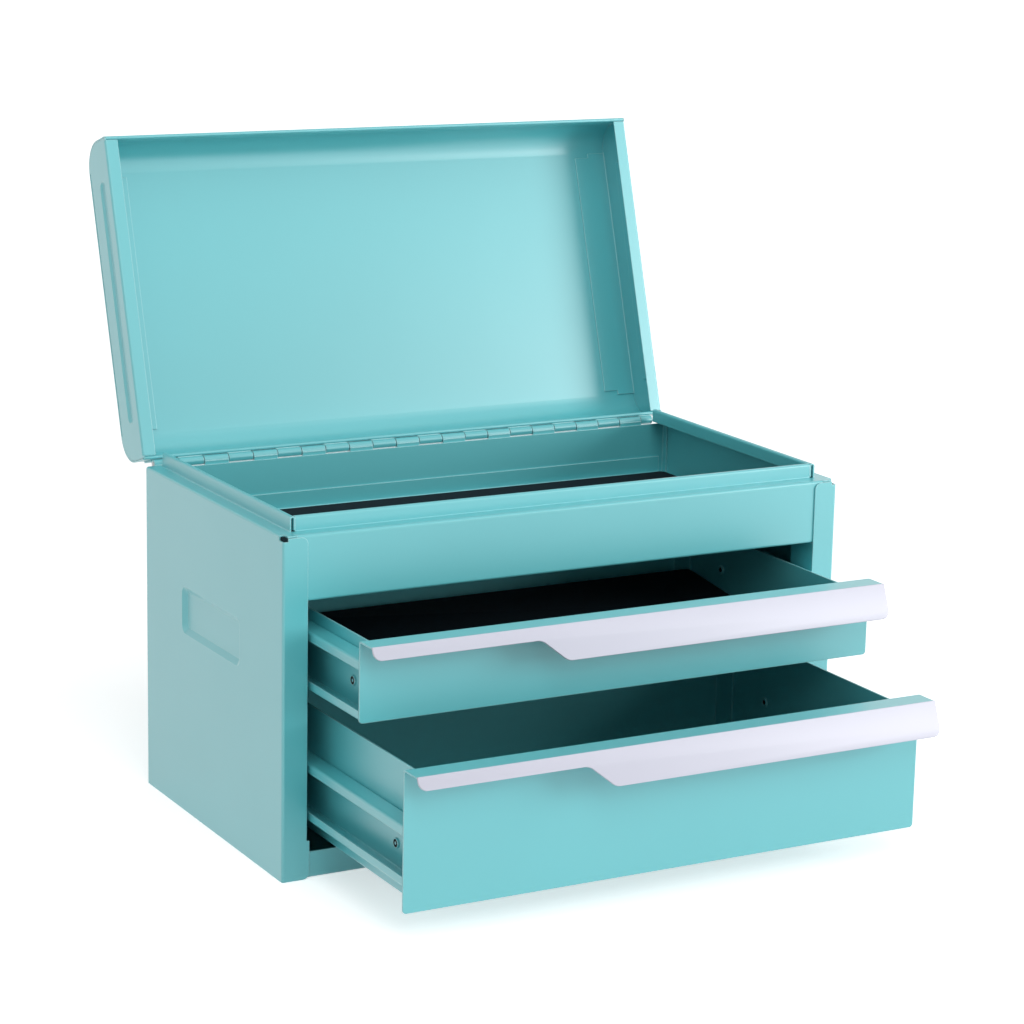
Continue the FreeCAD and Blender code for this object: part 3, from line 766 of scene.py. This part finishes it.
@dataclass(frozen=True)
class BlindRivets:
    """The four blind rivets that hold a drawer's two channels.

    Attributes:
        grip_mm: The length of the shank between head and blind end.
        groove_depth: How deep the painted shade goes in the groove round the mandrel.
        groove_radius: Its outer radius there.
        hollow_radius: The radius of the painted shade in the hollow of the blind end.
    """

    drawer: Body
    head_radius: float = 2.7 * MM
    head_height: float = 1.0 * MM
    grip_mm: float = 1.6
    groove_depth: float = 0.88 * MM
    groove_radius: float = 2.07 * MM
    hollow_radius: float = 1.32 * MM
    smooth_angle: float = math.radians(38)
    sides: int = 28

    def profile(self) -> list[tuple[float, float]]:
        """Return the places along the rivet and its radius there, from the set mandrel to the blind end."""
        grip = self.grip_mm
        millimetres = [
            (-0.90, 0.85), (-0.15, 0.90), (-0.15, 2.00), (-0.90, 2.10), (-1.00, 2.20), (-0.80, 2.45),
            (-0.40, 2.66), (0.00, 2.70), (0.00, 1.60), (grip, 1.60), (grip, 2.55), (grip + 0.45, 2.70),
            (grip + 0.85, 2.45), (grip + 1.00, 1.90), (grip + 0.85, 1.35), (grip + 0.25, 1.25),
        ]
        return [(along * MM, radius * MM) for along, radius in millimetres]

    def in_the_dark(self, at: Vector) -> bool:
        """Tell whether a face lies in the groove round the mandrel or in the hollow of the blind end, where
        shade is painted.

        Args:
            at: The middle of the face.

        Returns:
            Whether it does.
        """
        radius = math.hypot(at.y, at.z)
        in_groove = -self.groove_depth < at.x < 0.0 and radius < self.groove_radius
        in_hollow = at.x > self.head_height and radius < self.hollow_radius
        return in_groove or in_hollow

    def one(self, name: str, material: bpy.types.Material, dark: bpy.types.Material) -> bpy.types.Object:
        """Model a rivet along +X, its shank starting at the origin.

        Args:
            name: The object's name.
            material: The rivet's finish.
            dark: The painted shade inside its groove and its hollow.

        Returns:
            The rivet.
        """
        profile = self.profile()
        deselect_everything()
        start, radius = profile[0]
        bpy.ops.mesh.primitive_circle_add(vertices=self.sides, radius=radius, fill_type="NGON",
                                          location=(start, 0.0, 0.0), rotation=(0.0, math.pi / 2, 0.0))
        rivet = bpy.context.active_object
        rivet.name = name
        bpy.ops.object.transform_apply(location=True, rotation=True, scale=True)
        bpy.ops.object.mode_set(mode="EDIT")
        bpy.ops.mesh.select_all(action="SELECT")
        for (before, old), (after, new) in zip(profile, profile[1:]):
            bpy.ops.mesh.extrude_region_move(TRANSFORM_OT_translate={"value": (after - before, 0.0, 0.0)})
            growth = new / old
            bpy.ops.transform.resize(value=(1.0, growth, growth), center_override=(after, 0.0, 0.0))
        bpy.ops.mesh.select_all(action="SELECT")
        bpy.ops.mesh.normals_make_consistent(inside=False)
        rivet.data.materials.append(material)
        rivet.data.materials.append(dark)
        # The faces in the groove and the hollow take the dark colour: painted shade.
        pick(rivet, "FACE", self.in_the_dark)
        rivet.active_material_index = 1
        bpy.ops.object.material_slot_assign()
        bpy.ops.object.mode_set(mode="OBJECT")
        bpy.ops.object.shade_smooth_by_angle(angle=self.smooth_angle)
        return rivet

    def build(self, material: bpy.types.Material, dark: bpy.types.Material) -> bpy.types.Object:
        """Set a rivet at each of the CAD rivets' places and join them.

        Args:
            material: The rivets' finish.
            dark: The painted shade inside their grooves and hollows.

        Returns:
            The joined rivets.
        """
        node = f"{self.drawer.value}_rivets"
        low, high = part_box(node)
        shank_start = low.x + self.head_height
        places = [
            (low.y + self.head_radius, low.z + self.head_radius),
            (high.y - self.head_radius, high.z - self.head_radius),
        ]
        pattern = self.one(f"{self.drawer.value}_blind_rivets", material, dark)
        group = []
        for side in (1, -1):
            for y, z in places:
                copy = pattern.copy()
                copy.data = pattern.data.copy()
                bpy.context.scene.collection.objects.link(copy)
                turn = Matrix.Identity(4) if side == 1 else Matrix.Rotation(math.pi, 4, "Z")
                copy.data.transform(Matrix.Translation((side * shank_start, y, z)) @ turn)
                group.append(copy)
        bpy.data.objects.remove(pattern)
        choose(group[0])
        for other in group[1:]:
            other.select_set(True)
        bpy.ops.object.join()
        joined = bpy.context.active_object
        joined.name = f"{self.drawer.value}_blind_rivets"
        hand_over(joined, self.drawer, material, [node])
        return joined


# Light, camera and floor

@dataclass(frozen=True)
class SoftBox:
    """A rectangular soft box: where its middle is, how wide and high it is, and its power in watts."""

    name: str
    place: tuple[float, float, float]
    width: float
    height: float
    power: float


@dataclass(frozen=True)
class Studio:
    """The floor, the soft light and the camera of the product photograph.

    Attributes:
        lens: The focal length in millimetres.
        yaw: How far the camera looks to the right.
        pitch: How far it looks up.
        roll: How far its right side is raised.
        sensor: The sensor's width in millimetres.
        floor_half: Half the width of the floor.
        sky_light: The strength of the light from all round.
        aim: What the soft boxes face.
    """

    lens: float = 106.881
    camera_place: tuple[float, float, float] = (-0.77164, -1.41668, 0.53510)
    yaw: float = math.radians(28.981)
    pitch: float = math.radians(-13.138)
    roll: float = math.radians(1.200)
    sensor: float = 36.0
    floor_half: float = 30.0
    sky_light: float = 0.42
    aim: tuple[float, float, float] = (0.0, -0.03, 0.15)
    soft_boxes: tuple[SoftBox, ...] = (
        SoftBox("right_soft_box", (1.6, -1.35, 0.62), 1.0, 0.8, 22.0),
        SoftBox("key_soft_box", (-0.4, -1.7, 1.5), 1.1, 1.1, 9.5),
        SoftBox("top_soft_box", (-0.3, -0.6, 2.0), 1.2, 1.2, 6.0),
        SoftBox("left_soft_box", (-1.75, 0.45, 0.6), 1.0, 0.9, 1.5),
    )

    def camera(self) -> None:
        """Place the camera where the photograph was taken from."""
        data = bpy.data.cameras.new("camera")
        data.sensor_fit = "HORIZONTAL"
        data.sensor_width = self.sensor
        data.lens = self.lens
        flat = math.cos(self.pitch)
        forward = Vector((math.sin(self.yaw) * flat, math.cos(self.yaw) * flat, math.sin(self.pitch)))
        level = Vector((math.cos(self.yaw), -math.sin(self.yaw), 0.0))
        upright = level.cross(forward)
        right = level * math.cos(self.roll) + upright * math.sin(self.roll)
        up = upright * math.cos(self.roll) - level * math.sin(self.roll)
        turn = Matrix((right, up, -forward)).transposed().to_4x4()
        camera = bpy.data.objects.new("camera", data)
        camera.matrix_world = Matrix.Translation(self.camera_place) @ turn
        bpy.context.scene.collection.objects.link(camera)
        bpy.context.scene.camera = camera

    def floor(self) -> None:
        """Lay the paper that the chest stands on."""
        deselect_everything()
        bpy.ops.mesh.primitive_plane_add(size=2 * self.floor_half)
        floor = bpy.context.active_object
        floor.name = "studio_floor"
        floor.data.materials.append(StudioPaper().build())

    def world(self) -> None:
        """Light the chest from all round, and show white behind it."""
        world = bpy.data.worlds.new("studio")
        world.use_nodes = True
        tree = world.node_tree
        tree.nodes.clear()
        lit = add_node(tree, "ShaderNodeBackground", None, {"Color": WHITE, "Strength": self.sky_light})
        white = add_node(tree, "ShaderNodeBackground", None, {"Color": WHITE, "Strength": 1.0})
        mix = add_node(tree, "ShaderNodeMixShader", None,
                       {0: seen_directly(tree), 1: lit.outputs[0], 2: white.outputs[0]})
        add_node(tree, "ShaderNodeOutputWorld", None, {"Surface": mix.outputs[0]})
        bpy.context.scene.world = world

    def lamp(self, box: SoftBox) -> None:
        """Hang a soft box that faces the chest.

        Args:
            box: The soft box.
        """
        data = bpy.data.lights.new(box.name, "AREA")
        data.shape = "RECTANGLE"
        data.size = box.width
        data.size_y = box.height
        data.energy = box.power
        lamp = bpy.data.objects.new(box.name, data)
        aim = Vector(self.aim) - Vector(box.place)
        lamp.rotation_euler = aim.to_track_quat("-Z", "Y").to_euler()
        lamp.location = box.place
        bpy.context.scene.collection.objects.link(lamp)

    def build(self) -> None:
        """Set the whole studio up."""
        self.camera()
        self.floor()
        self.world()
        for box in self.soft_boxes:
            self.lamp(box)
        bpy.context.scene.view_settings.view_transform = "Standard"


# The whole scene

def dress_frame(finishes: dict[Slot, bpy.types.Material]) -> None:
    """Give every CAD node the finish of its slot.

    Args:
        finishes: The material of each slot.
    """
    for subpart in frame["record"]["subparts"]:
        node = frame["nodes"][subpart["node"]]
        material = finishes[Slot(subpart["material_slot"])]
        if not node.material_slots:
            node.data.materials.append(material)
        for place in node.material_slots:
            place.material = material


def main() -> None:
    """Build the scene, piece by piece."""
    logging.basicConfig(level=logging.INFO, format="%(message)s")
    Studio().build()
    coat = PowderCoat().build()
    finishes = {
        Slot.COAT: coat,
        Slot.PULL: SatinAbs().build(),
        Slot.FOAM: ClosedCellFoam().build(),
        Slot.WIRE: DrawnWire().build(),
        Slot.RIVET: coat,
    }
    # A dark colour for the rivets' grooves and hollows: painted shade.
    dark = PaintedRivetShade().build()
    dress_frame(finishes)
    for drawer in (Body.UPPER_DRAWER, Body.LOWER_DRAWER):
        DrawerPull(drawer).build(finishes[Slot.PULL])
        BlindRivets(drawer).build(finishes[Slot.RIVET], dark)
        liner = FoamLiner(f"{drawer.value}_mat", drawer, f"{drawer.value}_pan", curl_rise=DRAWER_CURL)
        liner.build(finishes[Slot.FOAM])
    FoamLiner("tray_mat", Body.CASE, "tray_pan").build(finishes[Slot.FOAM])


if __name__ == "__main__":
    main()
